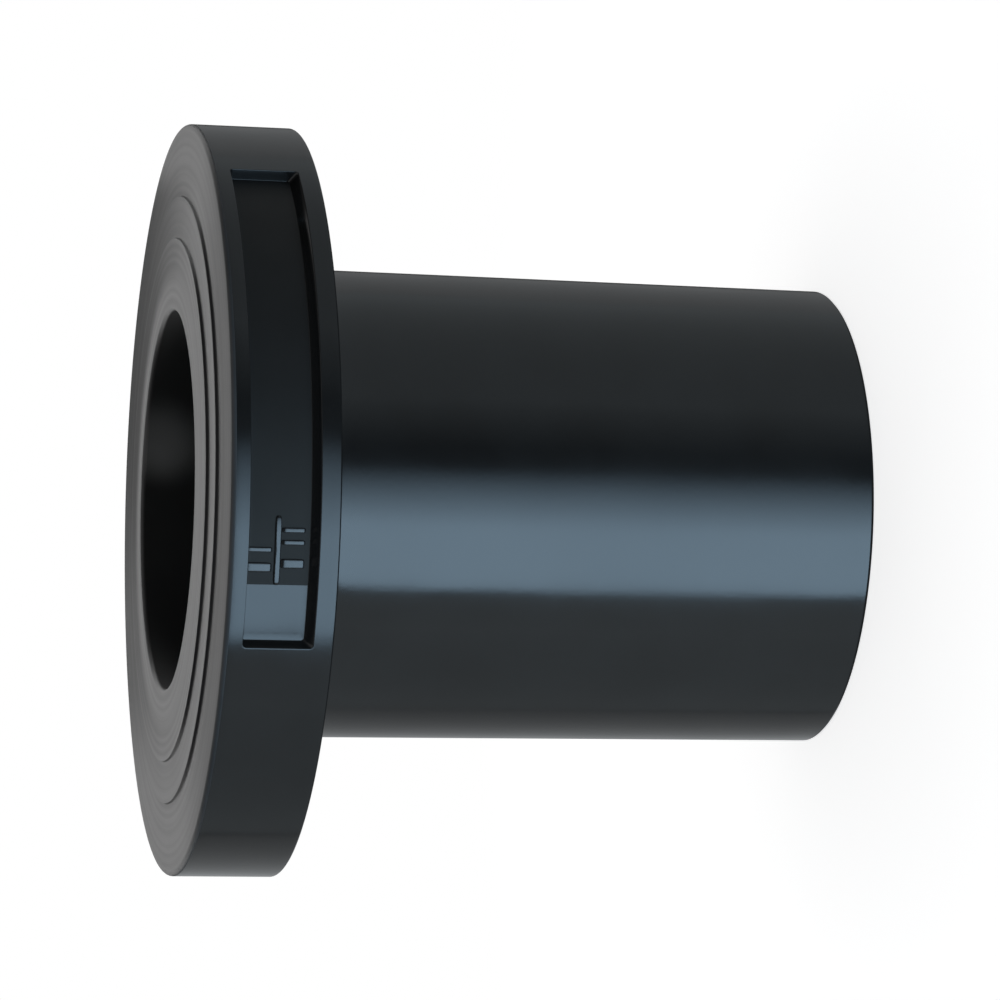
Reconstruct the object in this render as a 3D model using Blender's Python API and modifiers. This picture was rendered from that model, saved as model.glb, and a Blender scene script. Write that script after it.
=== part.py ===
"""HDPE stub end for a 63 mm pipe: a one-piece flange adaptor with a plain spigot.

The part stands on the end of its spigot. +Z runs along the bore towards the sealing
face, and the origin is the centre of the spigot's end. All sizes are in metres.
"""

from math import cos, pi, radians, sin

import bmesh
import bpy
from mathutils import Matrix, Vector

# Spigot and bore
SPIGOT_DIAMETER = 0.0630        # outside, at the end that is fused to the pipe
SPIGOT_DRAFT = 0.0005           # growth of its radius from the end to the collar
SPIGOT_LENGTH = 0.0757          # from its end to the back of the collar
WALL = 0.0058                   # wall of the spigot at its end
SPIGOT_END_BREAK = 0.0004       # bevel on the outer edge of the spigot's end
NECK_FILLET = 0.0040            # between the spigot and the back of the collar

# Collar
COLLAR_DIAMETER = 0.1020
COLLAR_THICKNESS = 0.0140       # at the rim, from the back to the outer edge of the face
BACK_EDGE_RADIUS = 0.0010
FRONT_EDGE_RADIUS = 0.0006

# Sealing face: two lands, each with a step down to a narrow flat at its outer edge, and a
# shallow slope from the outer flat down to the rim
BORE_MOUTH_RADIUS = 0.0006
INNER_LAND_WIDTH = 0.0092
INNER_LAND_HEIGHT = 0.0010      # above the outer edge of the face
INNER_STEP_DEPTH = 0.00035      # from the inner land to the flat at its foot
INNER_FLANK = 0.0026            # run of the slope from that flat down to the middle land
MIDDLE_LAND_WIDTH = 0.0024
MIDDLE_LAND_HEIGHT = 0.0006     # above the outer edge of the face
OUTER_STEP_DEPTH = 0.00035      # from the middle land to the flat at its foot
STEP_LEAN = 0.0001              # how far each step's wall leans outwards at its foot
STEP_FLAT = 0.0006              # width of the flat at the foot of each step

# Label recess in the rim
RECESS_FRONT_LAND = 0.0024      # rim left between the recess and the face
RECESS_BACK_LAND = 0.0026       # rim left between the recess and the collar's back
RECESS_DEPTH = 0.0015
RECESS_FROM = radians(-20.0)    # about the axis, from -Y towards +X
RECESS_TO = radians(59.0)
RECESS_CORNER = 0.0005          # radius of its corners, seen square on
RECESS_FLOOR_RADIUS = 0.0003    # at the foot of its walls
CUT_CLEARANCE = 0.0010          # reach of the cutter past the rim

# Facets
TURN_STEPS = 96
ARC_STEPS = 4
NECK_STEPS = 8
FILLET_SEGMENTS = 3
RECESS_STEPS = 24
SHARP_ANGLE = radians(25.0)

# Black polyethylene
PLASTIC_COLOUR = (0.018, 0.019, 0.020, 1.0)
PLASTIC_ROUGHNESS = 0.38

# Worked out from the sizes above
END_RADIUS = SPIGOT_DIAMETER / 2
ROOT_RADIUS = END_RADIUS + SPIGOT_DRAFT
BORE_RADIUS = END_RADIUS - WALL
RIM_RADIUS = COLLAR_DIAMETER / 2
COLLAR_BACK_Z = SPIGOT_LENGTH
FACE_EDGE_Z = COLLAR_BACK_Z + COLLAR_THICKNESS
MIDDLE_LAND_Z = FACE_EDGE_Z + MIDDLE_LAND_HEIGHT
INNER_LAND_Z = FACE_EDGE_Z + INNER_LAND_HEIGHT
RECESS_TOP_Z = FACE_EDGE_Z - RECESS_FRONT_LAND
RECESS_BOTTOM_Z = COLLAR_BACK_Z + RECESS_BACK_LAND
RECESS_FLOOR = RIM_RADIUS - RECESS_DEPTH


def arc(centre, radius, start, end, steps=ARC_STEPS):
    """Points of an arc in the r-z plane, both ends included; angles in degrees from +r."""
    points = []
    for i in range(steps + 1):
        angle = radians(start + (end - start) * i / steps)
        points.append((centre[0] + radius * cos(angle), centre[1] + radius * sin(angle)))
    return points


def step_down(radius, land, depth):
    """A step at a land's outer edge: the edge, the foot of its wall and the end of the flat."""
    foot = radius + STEP_LEAN
    floor = land - depth
    return [(radius, land), (foot, floor), (foot + STEP_FLAT, floor)]


def face_profile():
    """The sealing face from the bore's mouth outwards to the end of the outer flat."""
    mouth = BORE_RADIUS + BORE_MOUTH_RADIUS
    points = arc((mouth, INNER_LAND_Z - BORE_MOUTH_RADIUS), BORE_MOUTH_RADIUS, 180, 90)
    points += step_down(mouth + INNER_LAND_WIDTH, INNER_LAND_Z, INNER_STEP_DEPTH)
    middle_land = points[-1][0] + INNER_FLANK
    points.append((middle_land, MIDDLE_LAND_Z))
    points += step_down(middle_land + MIDDLE_LAND_WIDTH, MIDDLE_LAND_Z, OUTER_STEP_DEPTH)
    return points


def body_profile():
    """The closed section: down the outside, across the spigot's end, up the bore, over the face.

    It starts at the rim's front edge, where the slope from the outer flat ends.
    """
    points = arc((RIM_RADIUS - FRONT_EDGE_RADIUS, FACE_EDGE_Z - FRONT_EDGE_RADIUS),
                 FRONT_EDGE_RADIUS, 90, 0)
    points += arc((RIM_RADIUS - BACK_EDGE_RADIUS, COLLAR_BACK_Z + BACK_EDGE_RADIUS),
                  BACK_EDGE_RADIUS, 0, -90)
    points += arc((ROOT_RADIUS + NECK_FILLET, COLLAR_BACK_Z - NECK_FILLET),
                  NECK_FILLET, 90, 180, NECK_STEPS)
    points.append((END_RADIUS, SPIGOT_END_BREAK))
    points.append((END_RADIUS - SPIGOT_END_BREAK, 0.0))
    points.append((BORE_RADIUS, 0.0))
    points += face_profile()
    return points


def new_object(name, collection, mesh):
    """An object for a mesh, linked to its collection."""
    made = bpy.data.objects.new(name, mesh)
    collection.objects.link(made)
    return made


def plastic():
    """Black polyethylene, as moulded."""
    material = bpy.data.materials.new("black_hdpe")
    material.use_nodes = True
    shader = material.node_tree.nodes["Principled BSDF"]
    shader.inputs["Base Color"].default_value = PLASTIC_COLOUR
    shader.inputs["Roughness"].default_value = PLASTIC_ROUGHNESS
    shader.inputs["Metallic"].default_value = 0.0
    return material


def turned_body(collection):
    """The whole stub end as one turned section."""
    points = body_profile()
    edges = [(i, (i + 1) % len(points)) for i in range(len(points))]
    mesh = bpy.data.meshes.new("stub_end")
    mesh.from_pydata([(r, 0.0, z) for r, z in points], edges, [])
    body = new_object("stub_end", collection, mesh)
    screw = body.modifiers.new("turn", "SCREW")
    screw.axis = "Z"
    screw.angle = 2 * pi
    screw.steps = TURN_STEPS
    screw.render_steps = TURN_STEPS
    screw.use_merge_vertices = True
    screw.merge_threshold = 0.00001
    screw.use_smooth_shade = True
    return body


def recess_cutter(collection):
    """A curved slab with rounded corners, as wide and long as the recess.

    It starts as a strip on the recess's floor, spun about the axis. Its corners are
    rounded, and the strip is then given its thickness outwards, past the rim. The
    rounded edges of that slab leave the fillet between the recess's floor and walls.
    """
    turn = Matrix.Rotation(RECESS_FROM, 3, "Z")
    cage = bmesh.new()
    ends = [cage.verts.new(turn @ Vector((0.0, -RECESS_FLOOR, z)))
            for z in (RECESS_TOP_Z, RECESS_BOTTOM_Z)]
    edge = cage.edges.new(ends)
    bmesh.ops.spin(cage, geom=ends + [edge], cent=(0.0, 0.0, 0.0), axis=(0.0, 0.0, 1.0),
                   angle=RECESS_TO - RECESS_FROM, steps=RECESS_STEPS)
    corners = [vert for vert in cage.verts if len(vert.link_edges) == 2]
    bmesh.ops.bevel(cage, geom=corners, offset=RECESS_CORNER, segments=ARC_STEPS,
                    affect="VERTICES", profile=0.5)
    mesh = bpy.data.meshes.new("recess_cutter")
    cage.to_mesh(mesh)
    cage.free()
    cutter = new_object("recess_cutter", collection, mesh)
    slab = cutter.modifiers.new("thickness", "SOLIDIFY")
    slab.thickness = RECESS_DEPTH + CUT_CLEARANCE
    slab.offset = 1.0
    slab.use_even_offset = True
    foot = cutter.modifiers.new("floor_fillet", "BEVEL")
    foot.width = RECESS_FLOOR_RADIUS
    foot.segments = FILLET_SEGMENTS
    foot.limit_method = "ANGLE"
    foot.angle_limit = radians(60.0)
    cutter.hide_render = True
    cutter.display_type = "WIRE"
    return cutter


def cut(body, cutter):
    """Take the cutter's shape out of the body."""
    boolean = body.modifiers.new("label_recess", "BOOLEAN")
    boolean.operation = "DIFFERENCE"
    boolean.solver = "EXACT"
    boolean.object = cutter


def settle(body):
    """Make the modified shape the object's own mesh, smooth apart from its sharp edges."""
    graph = bpy.context.evaluated_depsgraph_get()
    mesh = bpy.data.meshes.new_from_object(body.evaluated_get(graph))
    body.modifiers.clear()
    body.data = mesh
    mesh.name = body.name
    mesh.shade_smooth()
    mesh.set_sharp_from_angle(angle=SHARP_ANGLE)


def clear_scene():
    """Remove whatever the scene holds."""
    for left in list(bpy.data.objects):
        bpy.data.objects.remove(left, do_unlink=True)


def new_collection(name):
    """A collection in the scene."""
    collection = bpy.data.collections.new(name)
    bpy.context.scene.collection.children.link(collection)
    return collection


def main():
    clear_scene()
    parts = new_collection("hdpe_stub_end")
    cutters = new_collection("cutters")
    body = turned_body(parts)
    cut(body, recess_cutter(cutters))
    settle(body)
    body.data.materials.append(plastic())


main()
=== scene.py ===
"""Black HDPE stub end: its fine surface, its finish, a studio and a camera.

The stub end stands on the cut end of its spigot, with +Z along the bore towards the sealing
face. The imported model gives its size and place. All sizes are in metres, and a clock angle
is measured about the bore from -Y, where the camera is, towards +X.
"""

from math import cos, pi, radians, sin, tan

import bmesh
import bpy
import numpy as np
from bpy.props import FloatProperty, FloatVectorProperty, PointerProperty
from bpy.types import Operator, Panel, PropertyGroup
from mathutils import Matrix, Vector


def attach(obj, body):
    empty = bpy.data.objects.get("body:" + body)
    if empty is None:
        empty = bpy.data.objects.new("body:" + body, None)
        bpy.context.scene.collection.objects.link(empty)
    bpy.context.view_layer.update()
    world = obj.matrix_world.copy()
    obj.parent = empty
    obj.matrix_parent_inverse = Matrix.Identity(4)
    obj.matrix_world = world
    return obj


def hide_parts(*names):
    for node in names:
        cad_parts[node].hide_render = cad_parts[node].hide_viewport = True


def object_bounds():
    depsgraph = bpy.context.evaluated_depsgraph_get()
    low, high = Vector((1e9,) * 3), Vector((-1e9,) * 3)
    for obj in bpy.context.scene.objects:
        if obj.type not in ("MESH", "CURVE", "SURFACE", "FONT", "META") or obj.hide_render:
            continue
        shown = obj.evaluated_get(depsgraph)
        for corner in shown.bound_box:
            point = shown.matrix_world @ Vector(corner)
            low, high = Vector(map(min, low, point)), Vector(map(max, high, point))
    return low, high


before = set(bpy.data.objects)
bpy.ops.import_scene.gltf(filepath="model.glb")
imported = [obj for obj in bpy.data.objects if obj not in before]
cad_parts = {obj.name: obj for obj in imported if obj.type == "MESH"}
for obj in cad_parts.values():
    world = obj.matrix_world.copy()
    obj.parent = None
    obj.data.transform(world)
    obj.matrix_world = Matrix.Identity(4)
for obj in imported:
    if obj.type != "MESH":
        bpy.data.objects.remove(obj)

bl_info = {
    "name": "HDPE Stub End",
    "version": (1, 0, 0),
    "blender": (4, 5, 0),
    "location": "3D View > Sidebar > Stub End",
    "description": "Surface, finish and studio for a black HDPE stub end",
    "category": "Object",
}

CAD_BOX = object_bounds()
CAD_RADIUS = CAD_BOX[1].x
CAD_HEIGHT = CAD_BOX[1].z
BODY = "root"
NODE = "stub_end"


class StubEndSizes(PropertyGroup):
    """Sizes of the stub end's section and of the label recess in its rim."""

    rim_radius: FloatProperty(
        name="Rim radius", description="Outer radius of the collar",
        default=CAD_RADIUS, unit="LENGTH")
    height: FloatProperty(
        name="Height", description="From the spigot's end to the inner land of the face",
        default=CAD_HEIGHT, unit="LENGTH")
    spigot_radius: FloatProperty(
        name="Spigot radius", description="Outer radius at the spigot's end",
        default=0.0315, unit="LENGTH")
    spigot_draft: FloatProperty(
        name="Spigot draft", description="Growth of the spigot's radius up to the collar",
        default=0.0005, unit="LENGTH")
    wall: FloatProperty(
        name="Wall", description="Wall of the spigot at its end",
        default=0.0058, unit="LENGTH")
    inner_land_height: FloatProperty(
        name="Inner land height", description="Inner land above the face's outer edge",
        default=0.0010, unit="LENGTH")
    middle_land_height: FloatProperty(
        name="Middle land height", description="Middle land above the face's outer edge",
        default=0.0006, unit="LENGTH")
    inner_land_width: FloatProperty(
        name="Inner land width", description="From the bore's mouth rounding to the inner step",
        default=0.0092, unit="LENGTH")
    middle_land_width: FloatProperty(
        name="Middle land width", description="Flat between the inner slope and the outer step",
        default=0.0024, unit="LENGTH")
    inner_step: FloatProperty(
        name="Inner step", description="Drop from the inner land to the flat at its foot",
        default=0.00035, unit="LENGTH")
    outer_step: FloatProperty(
        name="Outer step", description="Drop from the middle land to the flat at its foot",
        default=0.00035, unit="LENGTH")
    inner_flank: FloatProperty(
        name="Inner flank", description="Run of the slope from the inner flat to the middle land",
        default=0.0026, unit="LENGTH")
    step_flat: FloatProperty(
        name="Step flat", description="Width of the flat at the foot of each step",
        default=0.0006, unit="LENGTH")
    step_lean: FloatProperty(
        name="Step lean", description="How far each step's wall leans out at its foot",
        default=0.0001, unit="LENGTH")
    collar_thickness: FloatProperty(
        name="Collar thickness", description="From the collar's back to the face's outer edge",
        default=0.0140, unit="LENGTH")
    neck_radius: FloatProperty(
        name="Neck radius", description="Fillet between the spigot and the collar's back",
        default=0.0040, unit="LENGTH")
    recess_depth: FloatProperty(
        name="Recess depth", description="Depth of the label recess",
        default=0.0015, unit="LENGTH")
    recess_front_land: FloatProperty(
        name="Recess front land", description="Rim left between the recess and the face",
        default=0.0024, unit="LENGTH")
    recess_back_land: FloatProperty(
        name="Recess back land", description="Rim left between the recess and the collar's back",
        default=0.0026, unit="LENGTH")
    recess_from: FloatProperty(
        name="Recess from", description="Clock angle at which the recess starts",
        default=radians(-20.0), subtype="ANGLE", unit="ROTATION")
    recess_to: FloatProperty(
        name="Recess to", description="Clock angle at which the recess ends",
        default=radians(59.0), subtype="ANGLE", unit="ROTATION")


class StubEndFinish(PropertyGroup):
    """Colours and gloss of the black polyethylene, as moulded and as turned."""

    skin_colour: FloatVectorProperty(
        name="Skin colour", description="Moulded skin",
        default=(0.0085, 0.0085, 0.0085), size=3, subtype="COLOR", min=0.0, max=1.0)
    skin_roughness: FloatProperty(
        name="Skin roughness", description="Mean roughness of the moulded skin",
        default=0.17, subtype="FACTOR", min=0.0, max=1.0)
    label_roughness: FloatProperty(
        name="Label roughness", description="Mean roughness of the matt ground of the label",
        default=0.56, subtype="FACTOR", min=0.0, max=1.0)
    rim_roughness: FloatProperty(
        name="Rim roughness", description="Mean roughness of the collar's rim",
        default=0.15, subtype="FACTOR", min=0.0, max=1.0)
    bore_roughness: FloatProperty(
        name="Bore roughness", description="Mean roughness of the bore's wall",
        default=0.62, subtype="FACTOR", min=0.0, max=1.0)
    bore_colour: FloatVectorProperty(
        name="Bore colour", description="Wall of the bore",
        default=(0.022, 0.024, 0.025), size=3, subtype="COLOR", min=0.0, max=1.0)
    face_colour: FloatVectorProperty(
        name="Turned colour", description="Turned sealing face and cut spigot end",
        default=(0.030, 0.030, 0.031), size=3, subtype="COLOR", min=0.0, max=1.0)
    face_roughness: FloatProperty(
        name="Turned roughness", description="Mean roughness of the turned face",
        default=0.48, subtype="FACTOR", min=0.0, max=1.0)
    turning_pitch: FloatProperty(
        name="Turning pitch", description="Distance between the rings that the cutter left",
        default=0.00028, unit="LENGTH")


class StubEndStudio(PropertyGroup):
    """The pale floor, the lamps and the camera's lens."""

    floor_colour: FloatVectorProperty(
        name="Floor colour", description="Pale floor",
        default=(0.80, 0.80, 0.80), size=3, subtype="COLOR", min=0.0, max=1.0)
    floor_whiteness: FloatProperty(
        name="Floor whiteness", description="Plain white added where the camera sees the floor",
        default=0.77, subtype="FACTOR", min=0.0, max=1.0)
    key_strength: FloatProperty(
        name="Key strength", description="Brightness of the pale blue panel, where white is 1",
        default=5.35, min=0.0)
    back_strength: FloatProperty(
        name="Back strength", description="Brightness of the panel behind, where white is 1",
        default=1.8, min=0.0)
    low_strength: FloatProperty(
        name="Low strength", description="Brightness of the -X side's panel, where white is 1",
        default=0.56, min=0.0)
    high_strength: FloatProperty(
        name="High strength", description="Brightness of the +X side's panel, where white is 1",
        default=0.40, min=0.0)
    rear_strength: FloatProperty(
        name="Rear strength", description="Brightness of the two panels beside the back one",
        default=0.40, min=0.0)
    bore_power: FloatProperty(
        name="Bore lamp power", description="Power of the narrow lamp into the bore, in watts",
        default=4.5, min=0.0)
    top_strength: FloatProperty(
        name="Top strength", description="Brightness of the panel overhead, where white is 1",
        default=0.45, min=0.0)
    room_strength: FloatProperty(
        name="Room strength", description="Brightness of the room in the plastic's gloss",
        default=0.07, min=0.0)
    lens: FloatProperty(
        name="Lens", description="Focal length in millimetres on a 36 mm sensor",
        default=155.5, min=1.0)


# Roundings too small to be driven
MOUTH_RADIUS = 0.0006
FRONT_EDGE_RADIUS = 0.0006
BACK_EDGE_RADIUS = 0.00025
STEP_EDGE_RADIUS = 0.00008
STEP_FOOT_RADIUS = 0.00008
FLAT_END_RADIUS = 0.0010
LAND_BLEND_RADIUS = 0.0030
END_BREAK = 0.0004
END_EDGE_RADIUS = 0.00012

# Facets of the section
ARC_STEPS = 6
STRAIGHT_STEP = 0.0016
LONG_STRAIGHT = 0.0160
LONG_STRAIGHT_STEP = 0.0050
MERGE_DISTANCE = 1e-7

# Label recess
RECESS_CORNER = 0.0005
RECESS_FOOT_RADIUS = 0.00006
RECESS_EDGE_RADIUS = 0.00006
RECESS_RIM_STRIP = 0.00018
RECESS_WALL_LEAN = 0.00002
RECESS_BACK_LEAN = 0.0010
RECESS_END_LEAN = 0.0005
PATCH_MARGIN = 0.0007
CORNER_COLUMNS = 10
CORNER_ROWS = 8
MIDDLE_ROWS = 8
COLUMN_ANGLE = radians(0.9)
FOOT_RINGS = 7
EDGE_RINGS = 5
WALL_RINGS = 3
FLOOR_RINGS = 5

# Material slots of the body, the clock angle at which the label's matt ground starts, and
# how far a face's middle may lie from the surface, or from the cut end, that gives its slot
MOULDED, TURNED, MATT, BORED, RIM = 0, 1, 2, 3, 4
LABEL_FROM = radians(-11.2)
SLOT_REACH = 0.00002
CUT_REACH = 0.0001


def clocked(radius, clock, z):
    """Points at a radius, clock angle and height: x = r sin a, y = -r cos a."""
    radius, clock, z = np.broadcast_arrays(radius, clock, z)
    return np.stack([radius * np.sin(clock), -radius * np.cos(clock), z], axis=-1)


def rounded_outline(corners, radii, step):
    """An open outline in (r, z) through the corners, with each inner corner rounded.

    An arc of radius q at a corner that turns by t touches both sides q tan(t / 2) away from
    it. A point at angle u of the arc is its start plus q sin u along the way in, plus
    q (1 - cos u) across it, towards the inside of the turn. Straights are divided evenly.
    """
    corners = np.asarray(corners, float)
    radii = np.asarray(radii, float)[:, None]
    sides = np.diff(corners, axis=0)
    ways = sides / np.linalg.norm(sides, axis=1, keepdims=True)
    way_in, way_out = ways[:-1], ways[1:]
    turn = np.arccos(np.clip((way_in * way_out).sum(1, keepdims=True), -1.0, 1.0))
    across = (way_out - way_in * np.cos(turn)) / np.sin(turn)
    start = corners[1:-1] - way_in * radii * np.tan(turn / 2)
    share = np.linspace(0.0, 1.0, ARC_STEPS + 1)[None, :, None]
    angle = turn[:, :, None] * share
    arcs = (start[:, None] + radii[:, :, None] * (np.sin(angle) * way_in[:, None]
                                                  + (1 - np.cos(angle)) * across[:, None]))
    begins = np.vstack([arcs[:, -1], corners[-1:]])
    ends = np.vstack([arcs[:, 0], corners[-1:]])
    points = [divided(corners[0], arcs[0, 0], step)[:-1]]
    for i, arc in enumerate(arcs):
        points.append(arc[:-1])
        points.append(divided(begins[i], ends[i + 1], step)[:-1])
    points.append(corners[-1:])
    return np.vstack(points)


def divided(start, end, step):
    """Even points from start to end, no further apart than the step unless it is long."""
    length = np.linalg.norm(np.subtract(end, start))
    reach = LONG_STRAIGHT_STEP if length > LONG_STRAIGHT else step
    count = max(1, int(np.ceil(length / reach)))
    return np.linspace(start, end, count + 1)


def bore_radius(sizes):
    """Radius of the straight bore."""
    return sizes.spigot_radius - sizes.wall


def section(sizes):
    """The two halves of the section, from the middle of the bore's wall to the recess's rows.

    The first goes up the bore, over the face and onto the rim; the second goes from the rim
    round the collar's back, down the spigot and back up the bore.
    """
    bore = bore_radius(sizes)
    edge_z = sizes.height - sizes.inner_land_height
    middle_z = edge_z + sizes.middle_land_height
    back_z = edge_z - sizes.collar_thickness
    inner_edge = bore + MOUTH_RADIUS + sizes.inner_land_width
    inner_foot = inner_edge + sizes.step_lean
    inner_floor = sizes.height - sizes.inner_step
    middle = inner_foot + sizes.step_flat + sizes.inner_flank
    outer_edge = middle + sizes.middle_land_width
    outer_foot = outer_edge + sizes.step_lean
    outer_floor = middle_z - sizes.outer_step
    bore_middle = (bore, sizes.height / 2)
    top, bottom = recess_rows(sizes)[[0, -1]]
    face = rounded_outline(
        [bore_middle, (bore, sizes.height),
         (inner_edge, sizes.height), (inner_foot, inner_floor),
         (inner_foot + sizes.step_flat, inner_floor), (middle, middle_z),
         (outer_edge, middle_z), (outer_foot, outer_floor),
         (outer_foot + sizes.step_flat, outer_floor), (sizes.rim_radius, edge_z),
         (sizes.rim_radius, top)],
        [MOUTH_RADIUS, STEP_EDGE_RADIUS, STEP_FOOT_RADIUS, FLAT_END_RADIUS,
         LAND_BLEND_RADIUS, STEP_EDGE_RADIUS, STEP_FOOT_RADIUS, FLAT_END_RADIUS,
         FRONT_EDGE_RADIUS], STRAIGHT_STEP)
    root = sizes.spigot_radius + sizes.spigot_draft
    spigot = rounded_outline(
        [(sizes.rim_radius, bottom), (sizes.rim_radius, back_z), (root, back_z),
         (sizes.spigot_radius, END_BREAK), (sizes.spigot_radius - END_BREAK, 0.0),
         (bore, 0.0), bore_middle],
        [BACK_EDGE_RADIUS, sizes.neck_radius, END_EDGE_RADIUS, END_EDGE_RADIUS,
         END_EDGE_RADIUS], STRAIGHT_STEP)
    return face, spigot


def recess_window(sizes):
    """The recess's opening: its first and last clock angle, its top and its bottom."""
    edge_z = sizes.height - sizes.inner_land_height
    return (sizes.recess_from, sizes.recess_to, edge_z - sizes.recess_front_land,
            edge_z - sizes.collar_thickness + sizes.recess_back_land)


def graded(first, last, reach, corner_count, middle_count):
    """Values from first to last, closer together within reach of both ends."""
    near = np.linspace(first, first + reach, corner_count + 1)
    far = np.linspace(last - reach, last, corner_count + 1)
    between = np.linspace(near[-1], far[0], middle_count + 1)[1:-1]
    return np.concatenate([near, between, far])


def recess_rows(sizes):
    """Heights of the rim's rows across the recess and its margin, from the face's side."""
    _, _, top, bottom = recess_window(sizes)
    reach = PATCH_MARGIN + RECESS_CORNER
    return -graded(-top - PATCH_MARGIN, -bottom + PATCH_MARGIN, reach, CORNER_ROWS,
                   MIDDLE_ROWS)


def body_columns(sizes):
    """Clock angles of the body's columns, and how many of them the recess's patch spans."""
    first, last, _, _ = recess_window(sizes)
    margin = PATCH_MARGIN / sizes.rim_radius
    reach = margin + RECESS_CORNER / sizes.rim_radius
    middle_count = int(round((last - first) / COLUMN_ANGLE))
    patch = graded(first - margin, last + margin, reach, CORNER_COLUMNS, middle_count)
    rest = 2 * pi - (patch[-1] - patch[0])
    others = np.linspace(patch[-1], patch[-1] + rest, int(round(rest / COLUMN_ANGLE)) + 1)
    return np.concatenate([patch, others[1:-1]]), len(patch)


def recess_profile(sizes):
    """The recess's section as (outset, depth) pairs, from the rim down to its floor.

    The outset is measured square to the opening's outline. A narrow strip of the rim comes
    first. The lip is a quarter arc, the wall leans a little, and the foot is a quarter arc
    onto the floor.
    """
    lip = np.linspace(0.0, pi / 2, EDGE_RINGS)
    foot = np.linspace(0.0, pi / 2, FOOT_RINGS)
    foot_start = sizes.recess_depth - RECESS_FOOT_RADIUS
    wall = np.linspace(0.0, 1.0, WALL_RINGS + 1)[1:-1]
    lip_end = RECESS_EDGE_RADIUS
    outset = np.concatenate([
        [RECESS_RIM_STRIP], RECESS_EDGE_RADIUS * (1 - np.sin(lip)),
        -RECESS_WALL_LEAN * wall,
        -RECESS_WALL_LEAN - RECESS_FOOT_RADIUS * (1 - np.cos(foot))])
    depth = np.concatenate([
        [0.0], RECESS_EDGE_RADIUS * (1 - np.cos(lip)),
        lip_end + (foot_start - lip_end) * wall,
        foot_start + RECESS_FOOT_RADIUS * np.sin(foot)])
    return outset, depth


def recess_rings(sizes, edge):
    """Rings of the recess's patch, from the patch's edge inwards, as clock, height and radius.

    Each point of the edge has a nearest point on the opening's core, which is the opening
    less its corner radius. The ring at an outset lies on the line between the two, the
    corner radius plus the outset from the core, so that it is a rounded rectangle. Past the
    foot of the wall the rings shrink onto the floor's middle line. The deeper a ring, the
    more it is squeezed towards the top and the last clock angle, which leans the back wall
    and the wall at the first clock angle.
    """
    first, last, top, bottom = recess_window(sizes)
    rim = sizes.rim_radius
    low = np.array([first * rim, bottom]) + RECESS_CORNER
    high = np.array([last * rim, top]) - RECESS_CORNER
    core = np.clip(edge, low, high)
    way = edge - core
    way /= np.linalg.norm(way, axis=1, keepdims=True)
    outset, depth = recess_profile(sizes)
    rings = core[None] + way[None] * (RECESS_CORNER + outset)[:, None, None]
    half = (top - bottom) / 2
    middle = np.stack([np.clip(core[:, 0], first * rim + half, last * rim - half),
                       np.full(len(core), (top + bottom) / 2)], axis=1)
    share = np.linspace(0.0, 1.0, FLOOR_RINGS + 1)[1:, None, None]
    floor = rings[-1][None] * (1 - share) + middle[None] * share
    rings = np.concatenate([rings, floor])
    depth = np.concatenate([depth, np.full(FLOOR_RINGS, depth[-1])])
    radius = np.broadcast_to(rim - depth[:, None], rings.shape[:2])
    sunk = depth[:, None] / depth[-1]
    squeeze = 1 - RECESS_BACK_LEAN / (top - bottom) * sunk
    height = top - (top - rings[..., 1]) * squeeze
    squeeze = 1 - RECESS_END_LEAN / ((last - first) * rim) * sunk
    clock = last - (last - rings[..., 0] / rim) * squeeze
    return clock, height, radius


def quads(index):
    """Quads of an index grid, each from a point along its row's neighbours and back."""
    return np.stack([index[:-1, :-1], index[1:, :-1], index[1:, 1:], index[:-1, 1:]],
                    axis=-1)


def make_object(name, points, faces, materials, slots=None):
    """A smooth mesh object at the origin from point and face arrays, its doubles merged."""
    mesh = bpy.data.meshes.new(name)
    mesh.from_pydata(points.tolist(), [], faces.tolist())
    for material in materials:
        mesh.materials.append(material)
    if slots is not None:
        mesh.polygons.foreach_set("material_index", slots.astype(np.int32))
    work = bmesh.new()
    work.from_mesh(mesh)
    bmesh.ops.remove_doubles(work, verts=work.verts, dist=MERGE_DISTANCE)
    bmesh.ops.dissolve_degenerate(work, edges=work.edges, dist=MERGE_DISTANCE / 10)
    work.to_mesh(mesh)
    work.free()
    mesh.shade_smooth()
    made = bpy.data.objects.new(name, mesh)
    bpy.context.scene.collection.objects.link(made)
    return made


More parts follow.
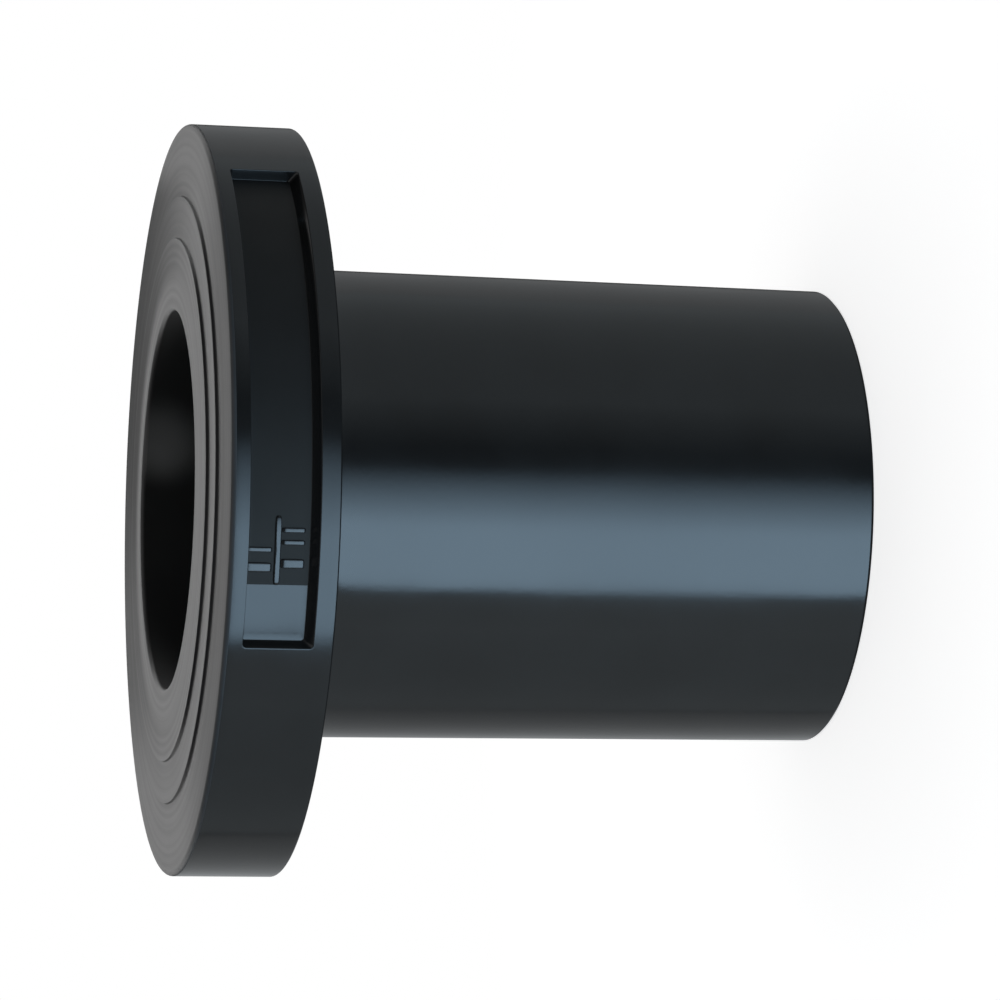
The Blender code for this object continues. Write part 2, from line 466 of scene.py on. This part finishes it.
def body_surface(sizes):
    """Points, quads and material slots of the whole stub end.

    The section is carried round the bore: a point is (r sin a, -r cos a, z). The columns
    and rows that meet the recess are left open there, and its rings fill the opening.
    """
    face, spigot = section(sizes)
    rows = recess_rows(sizes)
    rim = np.stack([np.full(len(rows), sizes.rim_radius), rows], axis=1)
    outline = np.vstack([face[:-1], rim, spigot[1:-1]])
    columns, patch_columns = body_columns(sizes)
    grid = clocked(outline[:, None, 0], columns[None], outline[:, None, 1])
    count = grid.shape[0] * grid.shape[1]
    index = np.arange(count).reshape(grid.shape[:2])
    wrapped = np.vstack([index, index[:1]])
    wrapped = np.hstack([wrapped, wrapped[:, :1]])
    cells = quads(wrapped)
    first_row = len(face) - 1
    last_row = first_row + len(rows) - 1
    keep = np.ones(cells.shape[:2], bool)
    keep[first_row:last_row, :patch_columns - 1] = False
    cells = cells[keep]

    patch = index[first_row:last_row + 1, :patch_columns]
    around = np.concatenate([patch[0, :-1], patch[:-1, -1], patch[-1, :0:-1],
                             patch[:0:-1, 0]])
    edge_clock = np.tile(columns, len(outline))[around]
    edge_z = np.repeat(outline[:, 1], len(columns))[around]
    edge = np.stack([edge_clock * sizes.rim_radius, edge_z], axis=1)
    clock, z, radius = recess_rings(sizes, edge)
    rings = clocked(radius, clock, z)
    ring_index = count + np.arange(rings.shape[0] * rings.shape[1]).reshape(rings.shape[:2])
    ring_index = np.vstack([around, ring_index])
    ring_index = np.hstack([ring_index, ring_index[:, :1]])
    points = np.vstack([grid.reshape(-1, 3), rings.reshape(-1, 3)])
    faces = np.vstack([cells.reshape(-1, 4), quads(ring_index).reshape(-1, 4)])
    middle = points[faces].mean(axis=1)
    turned = middle[:, 2] > sizes.height - sizes.inner_land_height - FRONT_EDGE_RADIUS
    cut = middle[:, 2] < CUT_REACH
    floor = sizes.rim_radius - sizes.recess_depth
    reach = np.hypot(middle[:, 0], middle[:, 1])
    back_z = sizes.height - sizes.inner_land_height - sizes.collar_thickness
    collar = middle[:, 2] > back_z + SLOT_REACH
    label = collar & (np.abs(reach - floor) < SLOT_REACH)
    label &= np.arctan2(middle[:, 0], -middle[:, 1]) > LABEL_FROM
    rim = collar & (reach > floor - SLOT_REACH)
    bored = np.abs(reach - bore_radius(sizes)) < SLOT_REACH
    slots = np.select([turned | cut, label, bored, rim], [TURNED, MATT, BORED, RIM], MOULDED)
    return points, faces, slots


# Raised bars in the recess, in place of the marks that can't be read: a divider, and two
# columns of short bars, each with its clock angle in degrees and its width
BAR_HEIGHT = 0.00028
BAR_ROUND = 0.45
BAR_OUTLINE_ROUND = 0.30
BAR_AROUND = 32
BAR_ACROSS = 14
FIRST_COLUMN_Z = 0.0858
SECOND_COLUMN_Z = 0.08145
FIRST_BAR_LENGTH = 0.0034
SECOND_BAR_LENGTH = 0.0030
THIN_BAR = 0.0006
WIDE_BAR = 0.0012
FIRST_BARS = ((-5.8, THIN_BAR), (-8.4, WIDE_BAR))
SECOND_BARS = ((-2.9, THIN_BAR), (-4.7, THIN_BAR), (-7.8, WIDE_BAR))
DIVIDER_Z = 0.0834
DIVIDER_WIDTH = 0.0008
DIVIDER_FROM = radians(-11.0)
DIVIDER_TO = radians(-0.8)


def pillow(clock, z, half_width, half_length, radius):
    """A rounded bar on the recess's floor, as a closed superellipsoid.

    At latitude v and longitude u its reach round the bore is w cos^m v cos^n u, along the
    bore l cos^m v sin^n u, and out of the floor h sin^m v, each power keeping its sign.
    """
    def power(value, exponent):
        return np.sign(value) * np.abs(value) ** exponent

    lat = np.linspace(-pi / 2, pi / 2, BAR_ACROSS)[:, None]
    lon = np.linspace(0.0, 2 * pi, BAR_AROUND + 1)[None]
    ring = power(np.cos(lat), BAR_ROUND)
    along = half_length * ring * power(np.sin(lon), BAR_OUTLINE_ROUND)
    sideways = half_width * ring * power(np.cos(lon), BAR_OUTLINE_ROUND)
    out = radius + BAR_HEIGHT * power(np.sin(lat), BAR_ROUND)
    out = np.broadcast_to(out, along.shape)
    return clocked(out, clock + sideways / radius, z + along)


def bar_places(floor):
    """Clock angle, height, half width and half length of each bar, on that floor radius."""
    places = [((DIVIDER_FROM + DIVIDER_TO) / 2, DIVIDER_Z,
               (DIVIDER_TO - DIVIDER_FROM) / 2 * floor, DIVIDER_WIDTH / 2)]
    for clock, width in FIRST_BARS:
        places.append((radians(clock), FIRST_COLUMN_Z, width / 2, FIRST_BAR_LENGTH / 2))
    for clock, width in SECOND_BARS:
        places.append((radians(clock), SECOND_COLUMN_Z, width / 2, SECOND_BAR_LENGTH / 2))
    return places


def bars_surface(sizes):
    """Points and quads of all the bars."""
    floor = sizes.rim_radius - sizes.recess_depth
    grids = [pillow(*place, floor) for place in bar_places(floor)]
    index = np.arange(grids[0].shape[0] * grids[0].shape[1]).reshape(grids[0].shape[:2])
    cells = quads(index).reshape(-1, 4)
    faces = np.vstack([cells[:, ::-1] + i * index.size for i in range(len(grids))])
    return np.vstack([g.reshape(-1, 3) for g in grids]), faces


# Grain of the moulded skin and of the turned face: sizes and depths in metres, and shares
# between which the colour varies
SKIN_CLOUD = 0.012
SKIN_GLOSS = 0.020
SKIN_SINK = 0.016
SKIN_SINK_DEPTH = 0.00004
SKIN_GRAIN = 0.0007
SKIN_GRAIN_DEPTH = 0.000004
SKIN_SHADES = (0.85, 1.15)
FACE_CLOUD = 0.009
FACE_BAND = 0.0012
FACE_BAND_DEPTH = 0.000003
FACE_RING_DEPTH = 0.0000008
FACE_SHADES = (0.88, 1.12)
UNEVEN_GLOSS = 0.03

# Extra roughness of the turned face on its +Y side, reached between two places on Y, and
# its shares: at two places on X or at two radii, the share at each and then the places
DULL_SIDE = 0.22
DULL_SIDE_FROM = -0.020
DULL_SIDE_TO = 0.050
DULL_DOWN = ((0.8, 1.6, -0.020, 0.010), (0.2, 1.0, -0.042, -0.026), (1.0, 0.2, 0.041, 0.047))
DULL_OUT = (0.0, 1.0, 0.0275, 0.0325)

# Extra roughness of its outer land, reached between two radii, on its -Y side only
DULL_EDGE = 0.08
DULL_EDGE_FROM = 0.0405
DULL_EDGE_TO = 0.0440
DULL_EDGE_NEAR = -0.040
DULL_EDGE_FAR = -0.015

# Refractive index of the plastic, and tint and index of its duller skins
PLASTIC_BEND = 1.50
MATT_GLEAM = (1.0, 0.94, 0.88)
MATT_BEND = 1.39
RIM_BEND = 1.45


# Places of the Mix node's colour sockets
MIX_COLOURS = (6, 7)
MIX_RESULT = 2


class Nodes:
    """Short calls for building one material's node tree."""

    def __init__(self, name):
        self.material = bpy.data.materials.new(name)
        self.material.use_nodes = True
        self.tree = self.material.node_tree
        self.shader = self.tree.nodes["Principled BSDF"]

    def add(self, kind, links=(), **values):
        """A node, its attributes and sockets set by name, and links into its sockets."""
        node = self.tree.nodes.new(kind)
        for key, value in values.items():
            setattr(node, key, value)
        for socket, source in dict(links).items():
            if isinstance(source, (int, float, tuple)):
                node.inputs[socket].default_value = source
            else:
                self.tree.links.new(source, node.inputs[socket])
        return node

    def object_place(self):
        """Object coordinates, which for these pieces are places in the model."""
        return self.add("ShaderNodeTexCoord").outputs["Object"]

    def noise(self, place, size, detail=3.0, roughness=0.5):
        """Noise whose features are about one size across."""
        node = self.add("ShaderNodeTexNoise",
                        {"Vector": place, "Scale": 1 / size, "Detail": detail,
                         "Roughness": roughness})
        return node.outputs["Fac"]

    def between(self, value, low, high, start=0.3, end=0.7):
        """A value from start to end, stretched to run from low to high."""
        node = self.add("ShaderNodeMapRange",
                        {"Value": value, "From Min": start, "From Max": end,
                         "To Min": low, "To Max": high}, interpolation_type="SMOOTHSTEP")
        return node.outputs["Result"]

    def math(self, operation, first, second=0.0):
        """One Math node."""
        return self.add("ShaderNodeMath", {0: first, 1: second},
                        operation=operation).outputs[0]

    def clouded(self, noise, colour, shades):
        """A colour that varies with the noise between two shades of it."""
        node = self.add("ShaderNodeMix", data_type="RGBA")
        self.tree.links.new(self.between(noise, 0.0, 1.0), node.inputs["Factor"])
        for socket, factor in zip(MIX_COLOURS, shades):
            node.inputs[socket].default_value = (*shade(colour, factor), 1.0)
        return node.outputs[MIX_RESULT]

    def bump(self, height, distance, after=None):
        """A bump of that height in metres, laid over an earlier one."""
        links = {"Height": height, "Distance": distance, "Strength": 1.0}
        if after is not None:
            links["Normal"] = after
        return self.add("ShaderNodeBump", links).outputs["Normal"]

    def into(self, socket, source):
        """A link or a plain value for one of the shader's sockets."""
        if isinstance(source, (int, float, tuple)):
            self.shader.inputs[socket].default_value = source
        else:
            self.tree.links.new(source, self.shader.inputs[socket])


def shade(colour, factor):
    """A colour made lighter or darker."""
    return tuple(channel * factor for channel in colour)


def moulded_skin(name, tone, rough, gleam=(1.0, 1.0, 1.0), bend=PLASTIC_BEND):
    """Moulded polyethylene: faint flow clouds, an uneven gloss and a fine skin texture.

    The gleam tints its reflections, and the bend is its refractive index.
    """
    nodes = Nodes(name)
    place = nodes.object_place()
    colour = nodes.clouded(nodes.noise(place, SKIN_CLOUD), tone, SKIN_SHADES)
    gloss = nodes.noise(place, SKIN_GLOSS, detail=4.0)
    nodes.into("Base Color", colour)
    nodes.into("Roughness", nodes.between(gloss, rough - UNEVEN_GLOSS, rough + UNEVEN_GLOSS))
    nodes.into("IOR", bend)
    nodes.into("Specular Tint", (*gleam, 1.0))
    sinks = nodes.bump(nodes.noise(place, SKIN_SINK, detail=1.0), SKIN_SINK_DEPTH)
    grain = nodes.noise(place, SKIN_GRAIN, detail=2.0)
    nodes.into("Normal", nodes.bump(grain, SKIN_GRAIN_DEPTH, sinks))
    return nodes.material


def turned_face(finish):
    """Turned polyethylene: matt, with the fine rings that the cutter left round the bore."""
    nodes = Nodes("turned_black_hdpe")
    place = nodes.object_place()
    parts = nodes.add("ShaderNodeSeparateXYZ", {"Vector": place}).outputs
    across = nodes.math("MULTIPLY", parts["X"], parts["X"])
    along = nodes.math("MULTIPLY", parts["Y"], parts["Y"])
    radius = nodes.math("SQRT", nodes.math("ADD", across, along))
    turns = nodes.math("MULTIPLY", radius, 2 * pi / finish.turning_pitch)
    rings = nodes.math("SINE", turns)
    spot = nodes.add("ShaderNodeCombineXYZ", {"X": radius})
    bands = nodes.noise(spot.outputs[0], FACE_BAND, detail=2.0)
    clouds = nodes.noise(place, FACE_CLOUD)
    nodes.into("Base Color", nodes.clouded(clouds, finish.face_colour, FACE_SHADES))
    dull = nodes.between(parts["Y"], 0.0, DULL_SIDE, DULL_SIDE_FROM, DULL_SIDE_TO)
    for share in DULL_DOWN:
        dull = nodes.math("MULTIPLY", dull, nodes.between(parts["X"], *share))
    dull = nodes.math("MULTIPLY", dull, nodes.between(radius, *DULL_OUT))
    edge = nodes.between(radius, 0.0, DULL_EDGE, DULL_EDGE_FROM, DULL_EDGE_TO)
    near = nodes.between(parts["Y"], 1.0, 0.0, DULL_EDGE_NEAR, DULL_EDGE_FAR)
    edge = nodes.math("MULTIPLY", edge, near)
    rough = finish.face_roughness
    uneven = nodes.between(bands, rough - UNEVEN_GLOSS, rough + UNEVEN_GLOSS)
    nodes.into("Roughness", nodes.math("ADD", uneven, nodes.math("ADD", dull, edge)))
    nodes.into("IOR", PLASTIC_BEND)
    wander = nodes.bump(bands, FACE_BAND_DEPTH)
    nodes.into("Normal", nodes.bump(rings, FACE_RING_DEPTH, wander))
    return nodes.material


class STUBEND_OT_body(Operator):
    """Build the stub end's fine surface in place of the plain model."""

    bl_idname = "stubend.body"
    bl_label = "Build Stub End"

    def execute(self, context):
        sizes = context.scene.stub_end_sizes
        finish = context.scene.stub_end_finish
        points, faces, slots = body_surface(sizes)
        skin = finish.skin_colour
        materials = [moulded_skin("moulded_black_hdpe", skin, finish.skin_roughness),
                     turned_face(finish),
                     moulded_skin("matt_black_hdpe", skin, finish.label_roughness,
                                  MATT_GLEAM, MATT_BEND),
                     moulded_skin("bore_black_hdpe", finish.bore_colour,
                                  finish.bore_roughness),
                     moulded_skin("rim_black_hdpe", skin, finish.rim_roughness,
                                  bend=RIM_BEND)]
        body = make_object("stub_end_body", points, faces, materials, slots)
        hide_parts(NODE)
        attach(body, BODY)
        return {"FINISHED"}


class STUBEND_OT_recess_bars(Operator):
    """Build the raised bars on the floor of the label recess."""

    bl_idname = "stubend.recess_bars"
    bl_label = "Build Recess Bars"

    def execute(self, context):
        points, faces = bars_surface(context.scene.stub_end_sizes)
        skin = bpy.data.materials["moulded_black_hdpe"]
        bars = make_object("recess_bars", points, faces, [skin])
        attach(bars, BODY)
        return {"FINISHED"}


# Studio
FLOOR_HALF = 3.0
CAMERA_PLACE = Vector((0.01084, -0.58328, 0.17241))
CAMERA_AIM = Vector((0.00113, 0.0, 0.04428))
CAMERA_LEAN = radians(1.716)
SENSOR = 36.0
CAMERA_REACH = 20.0
WHITE_FROM = 0.06
WHITE_TO = 0.22
TOP_HEIGHT = 0.95
TOP_SIZE = 1.5
BORE_LAMP_PLACE = Vector((0.03, -0.50, 0.22))
BORE_LAMP_AIM = Vector((0.0079, 0.0255, 0.0880))
BORE_LAMP_CONE = radians(1.30)
BORE_LAMP_RADIUS = 0.002

# Upright panels round the bore's axis: their bottom and top, their colours, and for each its
# two clock angles in degrees, the value that holds its strength, and its share of that
# strength at the two angles
PANEL_DISTANCE = 0.75
BELOW = (-0.45, 0.08)
BEHIND = (0.20, 0.50)
BLUE = (0.54, 0.78, 1.0)
PALE = (0.85, 0.95, 1.0)
REAR = (0.92, 0.97, 1.0)
WHITE = (1.0, 1.0, 1.0)
PANELS = (
    ("key_panel", (-39, -8), BELOW, "key_strength", BLUE, (1.0, 1.0)),
    ("key_edge", (-8, 20), BELOW, "key_strength", BLUE, (1.0, 0.0)),
    ("low_edge", (-60, -41), BELOW, "low_strength", PALE, (1.0, 1.0)),
    ("low_panel", (-116, -60), BELOW, "low_strength", PALE, (0.5, 1.0)),
    ("high_panel", (54, 127), BELOW, "high_strength", PALE, (0.95, 0.90)),
    ("high_edge", (30, 54), BELOW, "high_strength", PALE, (0.0, 0.9)),
    ("low_rear_panel", (-176, -117), BELOW, "rear_strength", REAR, (1.0, 0.60)),
    ("high_rear_panel", (127, 164), BELOW, "rear_strength", REAR, (0.80, 0.36)),
    ("back_panel", (122, 238), BEHIND, "back_strength", WHITE, (1.0, 1.0)),
)


def light_path_share(tree, names):
    """The sum of some of Light Path's outputs."""
    path = tree.nodes.new("ShaderNodeLightPath")
    total = path.outputs[names[0]]
    for name in names[1:]:
        join = tree.nodes.new("ShaderNodeMath")
        join.use_clamp = True
        tree.links.new(total, join.inputs[0])
        tree.links.new(path.outputs[name], join.inputs[1])
        total = join.outputs[0]
    return total


def floor_material(studio):
    """Pale floor: matt, with white added for the camera, and plain white away from the part."""
    nodes = Nodes("pale_floor")
    tree = nodes.tree
    tree.nodes.remove(nodes.shader)
    output = tree.nodes["Material Output"]
    matt = nodes.add("ShaderNodeBsdfDiffuse", {"Color": (*studio.floor_colour, 1.0)})
    seen = light_path_share(tree, ["Is Camera Ray", "Is Transmission Ray"])
    share = nodes.math("MULTIPLY", seen, studio.floor_whiteness)
    glow = nodes.add("ShaderNodeEmission", {"Strength": share})
    near = nodes.add("ShaderNodeAddShader", {0: matt.outputs[0], 1: glow.outputs[0]})
    span = nodes.add("ShaderNodeVectorMath", {0: nodes.object_place()}, operation="LENGTH")
    away = nodes.between(span.outputs["Value"], 0.0, 1.0, WHITE_FROM, WHITE_TO)
    white = nodes.add("ShaderNodeEmission", {"Strength": 1.0})
    whiteness = nodes.math("MULTIPLY", away, seen)
    mix = nodes.add("ShaderNodeMixShader", {0: whiteness, 1: near.outputs[0],
                                            2: white.outputs[0]})
    tree.links.new(mix.outputs[0], output.inputs[0])
    return nodes.material


def pale_floor(studio):
    """The floor that the stub end stands on; it gives way to the light of low panels."""
    half = FLOOR_HALF
    points = np.array([(-half, -half, 0), (half, -half, 0), (half, half, 0), (-half, half, 0)])
    floor = make_object("floor", points, np.array([[0, 1, 2, 3]]), [floor_material(studio)])
    floor.visible_glossy = False
    floor.visible_shadow = False


def white_world(studio):
    """White where the camera looks past the floor, and a dim room for everything else."""
    world = bpy.data.worlds.new("white_room")
    bpy.context.scene.world = world
    world.use_nodes = True
    tree = world.node_tree
    tree.nodes.clear()
    room = tree.nodes.new("ShaderNodeBackground")
    room.inputs["Strength"].default_value = studio.room_strength
    white = tree.nodes.new("ShaderNodeBackground")
    seen = light_path_share(tree, ["Is Camera Ray", "Is Transmission Ray"])
    mix = tree.nodes.new("ShaderNodeMixShader")
    tree.links.new(seen, mix.inputs[0])
    tree.links.new(room.outputs[0], mix.inputs[1])
    tree.links.new(white.outputs[0], mix.inputs[2])
    output = tree.nodes.new("ShaderNodeOutputWorld")
    tree.links.new(mix.outputs[0], output.inputs[0])


def panel_lamp(name, clocks, levels, strength, colour, fade):
    """An upright soft panel that faces the bore's axis, spanning two clock angles in degrees.

    A panel of brightness b and area s gives pi b s watts. The fade holds its share of that
    brightness at the first clock angle and at the second.
    """
    low, high = levels
    middle = radians(clocks[0] + clocks[1]) / 2
    data = bpy.data.lights.new(name, "AREA")
    data.shape = "RECTANGLE"
    data.size = 2 * PANEL_DISTANCE * tan(radians(clocks[1] - clocks[0]) / 2)
    data.size_y = high - low
    data.energy = pi * strength * data.size * data.size_y
    data.color = colour
    data.use_nodes = True
    nodes = data.node_tree.nodes
    across = nodes.new("ShaderNodeNewGeometry").outputs["Parametric"]
    parts = nodes.new("ShaderNodeSeparateXYZ")
    scale = nodes.new("ShaderNodeMapRange")
    scale.inputs["To Min"].default_value = fade[0]
    scale.inputs["To Max"].default_value = fade[1]
    links = data.node_tree.links
    links.new(across, parts.inputs[0])
    links.new(parts.outputs["X"], scale.inputs["Value"])
    links.new(scale.outputs["Result"], nodes["Emission"].inputs["Strength"])
    lamp = bpy.data.objects.new(name, data)
    lamp.visible_camera = False
    bpy.context.scene.collection.objects.link(lamp)
    outward = Vector((sin(middle), -cos(middle), 0.0))
    place = outward * PANEL_DISTANCE + Vector((0.0, 0.0, (low + high) / 2))
    upward = Vector((0.0, 0.0, 1.0))
    turn = Matrix((upward.cross(outward), upward, outward)).transposed()
    lamp.matrix_world = Matrix.Translation(place) @ turn.to_4x4()


def top_panel(studio):
    """A level soft panel over the stub end, facing down."""
    data = bpy.data.lights.new("top_panel", "AREA")
    data.size = TOP_SIZE
    data.energy = pi * studio.top_strength * TOP_SIZE ** 2
    lamp = bpy.data.objects.new("top_panel", data)
    lamp.location.z = TOP_HEIGHT
    lamp.visible_camera = False
    bpy.context.scene.collection.objects.link(lamp)


def bore_lamp(studio):
    """A narrow lamp through the mouth onto the bore's far wall."""
    data = bpy.data.lights.new("bore_lamp", "SPOT")
    data.energy = studio.bore_power
    data.spot_size = BORE_LAMP_CONE
    data.spot_blend = 1.0
    data.shadow_soft_size = BORE_LAMP_RADIUS
    lamp = bpy.data.objects.new("bore_lamp", data)
    bpy.context.scene.collection.objects.link(lamp)
    turn = (BORE_LAMP_PLACE - BORE_LAMP_AIM).to_track_quat("Z", "Y").to_matrix()
    lamp.matrix_world = Matrix.Translation(BORE_LAMP_PLACE) @ turn.to_4x4()


def camera(studio):
    """The camera, aimed near the stub end's middle and turned so that +X is up."""
    data = bpy.data.cameras.new("camera")
    data.lens = studio.lens
    data.sensor_width = SENSOR
    data.clip_end = CAMERA_REACH
    made = bpy.data.objects.new("camera", data)
    bpy.context.scene.collection.objects.link(made)
    ahead = (CAMERA_AIM - CAMERA_PLACE).normalized()
    hint = Vector((cos(CAMERA_LEAN), 0.0, sin(CAMERA_LEAN)))
    right = ahead.cross(hint).normalized()
    turn = Matrix((right, right.cross(ahead), -ahead)).transposed()
    made.matrix_world = Matrix.Translation(CAMERA_PLACE) @ turn.to_4x4()
    bpy.context.scene.camera = made


class STUBEND_OT_studio(Operator):
    """Set up the pale floor, the white surroundings, the soft panels and the camera."""

    bl_idname = "stubend.studio"
    bl_label = "Build Studio"

    def execute(self, context):
        studio = context.scene.stub_end_studio
        pale_floor(studio)
        white_world(studio)
        for name, clocks, levels, strength, colour, fade in PANELS:
            panel_lamp(name, clocks, levels, getattr(studio, strength), colour, fade)
        top_panel(studio)
        bore_lamp(studio)
        camera(studio)
        context.scene.view_settings.view_transform = "Standard"
        return {"FINISHED"}


class STUBEND_PT_panel(Panel):
    """Shows the sizes, the finish, the studio's values and the operators that build."""

    bl_idname = "STUBEND_PT_panel"
    bl_label = "HDPE Stub End"
    bl_space_type = "VIEW_3D"
    bl_region_type = "UI"
    bl_category = "Stub End"

    def draw(self, context):
        layout = self.layout
        for group in ("stub_end_sizes", "stub_end_finish", "stub_end_studio"):
            values = getattr(context.scene, group)
            box = layout.box()
            for name in values.__annotations__:
                box.prop(values, name)
        for operator in (STUBEND_OT_body, STUBEND_OT_recess_bars, STUBEND_OT_studio):
            layout.operator(operator.bl_idname)


CLASSES = (StubEndSizes, StubEndFinish, StubEndStudio, STUBEND_OT_body,
           STUBEND_OT_recess_bars, STUBEND_OT_studio, STUBEND_PT_panel)


def register():
    for made in CLASSES:
        bpy.utils.register_class(made)
    bpy.types.Scene.stub_end_sizes = PointerProperty(type=StubEndSizes)
    bpy.types.Scene.stub_end_finish = PointerProperty(type=StubEndFinish)
    bpy.types.Scene.stub_end_studio = PointerProperty(type=StubEndStudio)


def unregister():
    del bpy.types.Scene.stub_end_studio
    del bpy.types.Scene.stub_end_finish
    del bpy.types.Scene.stub_end_sizes
    for made in reversed(CLASSES):
        bpy.utils.unregister_class(made)


def main():
    register()
    bpy.ops.stubend.body()
    bpy.ops.stubend.recess_bars()
    bpy.ops.stubend.studio()


if __name__ == "__main__":
    main()
